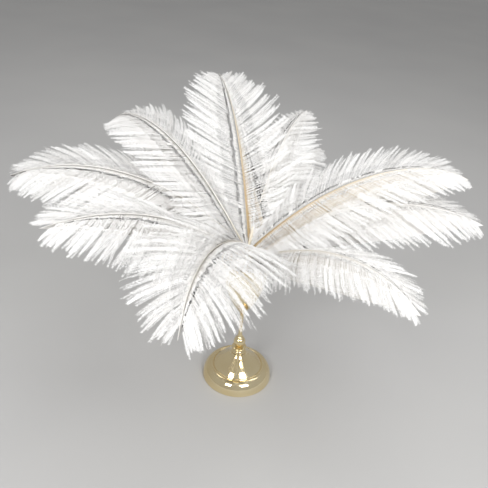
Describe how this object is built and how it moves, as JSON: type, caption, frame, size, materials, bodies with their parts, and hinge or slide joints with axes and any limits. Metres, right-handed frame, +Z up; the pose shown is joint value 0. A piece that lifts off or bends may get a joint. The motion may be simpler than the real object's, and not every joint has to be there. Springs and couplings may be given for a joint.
{
  "type": "ostrich feather bouquet in a vase",
  "caption": "Bouquet of fluffy white ostrich plumes that arch out from a footed trumpet vase of polished yellow metal.",
  "frame": {"origin": "middle of the foot's underside, on the surface that the vase stands on", "axes": "+Z up along the vase's axis, -Y towards the front plume's side, +X to the right of someone who faces the front"},
  "size_m": [0.6031, 0.5808, 0.3756],
  "materials": {
    "polished_brass": "polished",
    "white_plume": "soft, downy"
  },
  "bodies": {
    "root": {"foot": "polished_brass", "collar": "polished_brass", "knop": "polished_brass", "stem": "polished_brass", "cup": "polished_brass", "feather_left_high": "white_plume", "feather_left_low": "white_plume", "feather_back_left": "white_plume", "feather_back": "white_plume", "feather_back_right": "white_plume", "feather_back_right_low": "white_plume", "feather_right_high": "white_plume", "feather_right_low": "white_plume", "feather_front_right": "white_plume", "feather_front": "white_plume"}
  },
  "joints": []
}
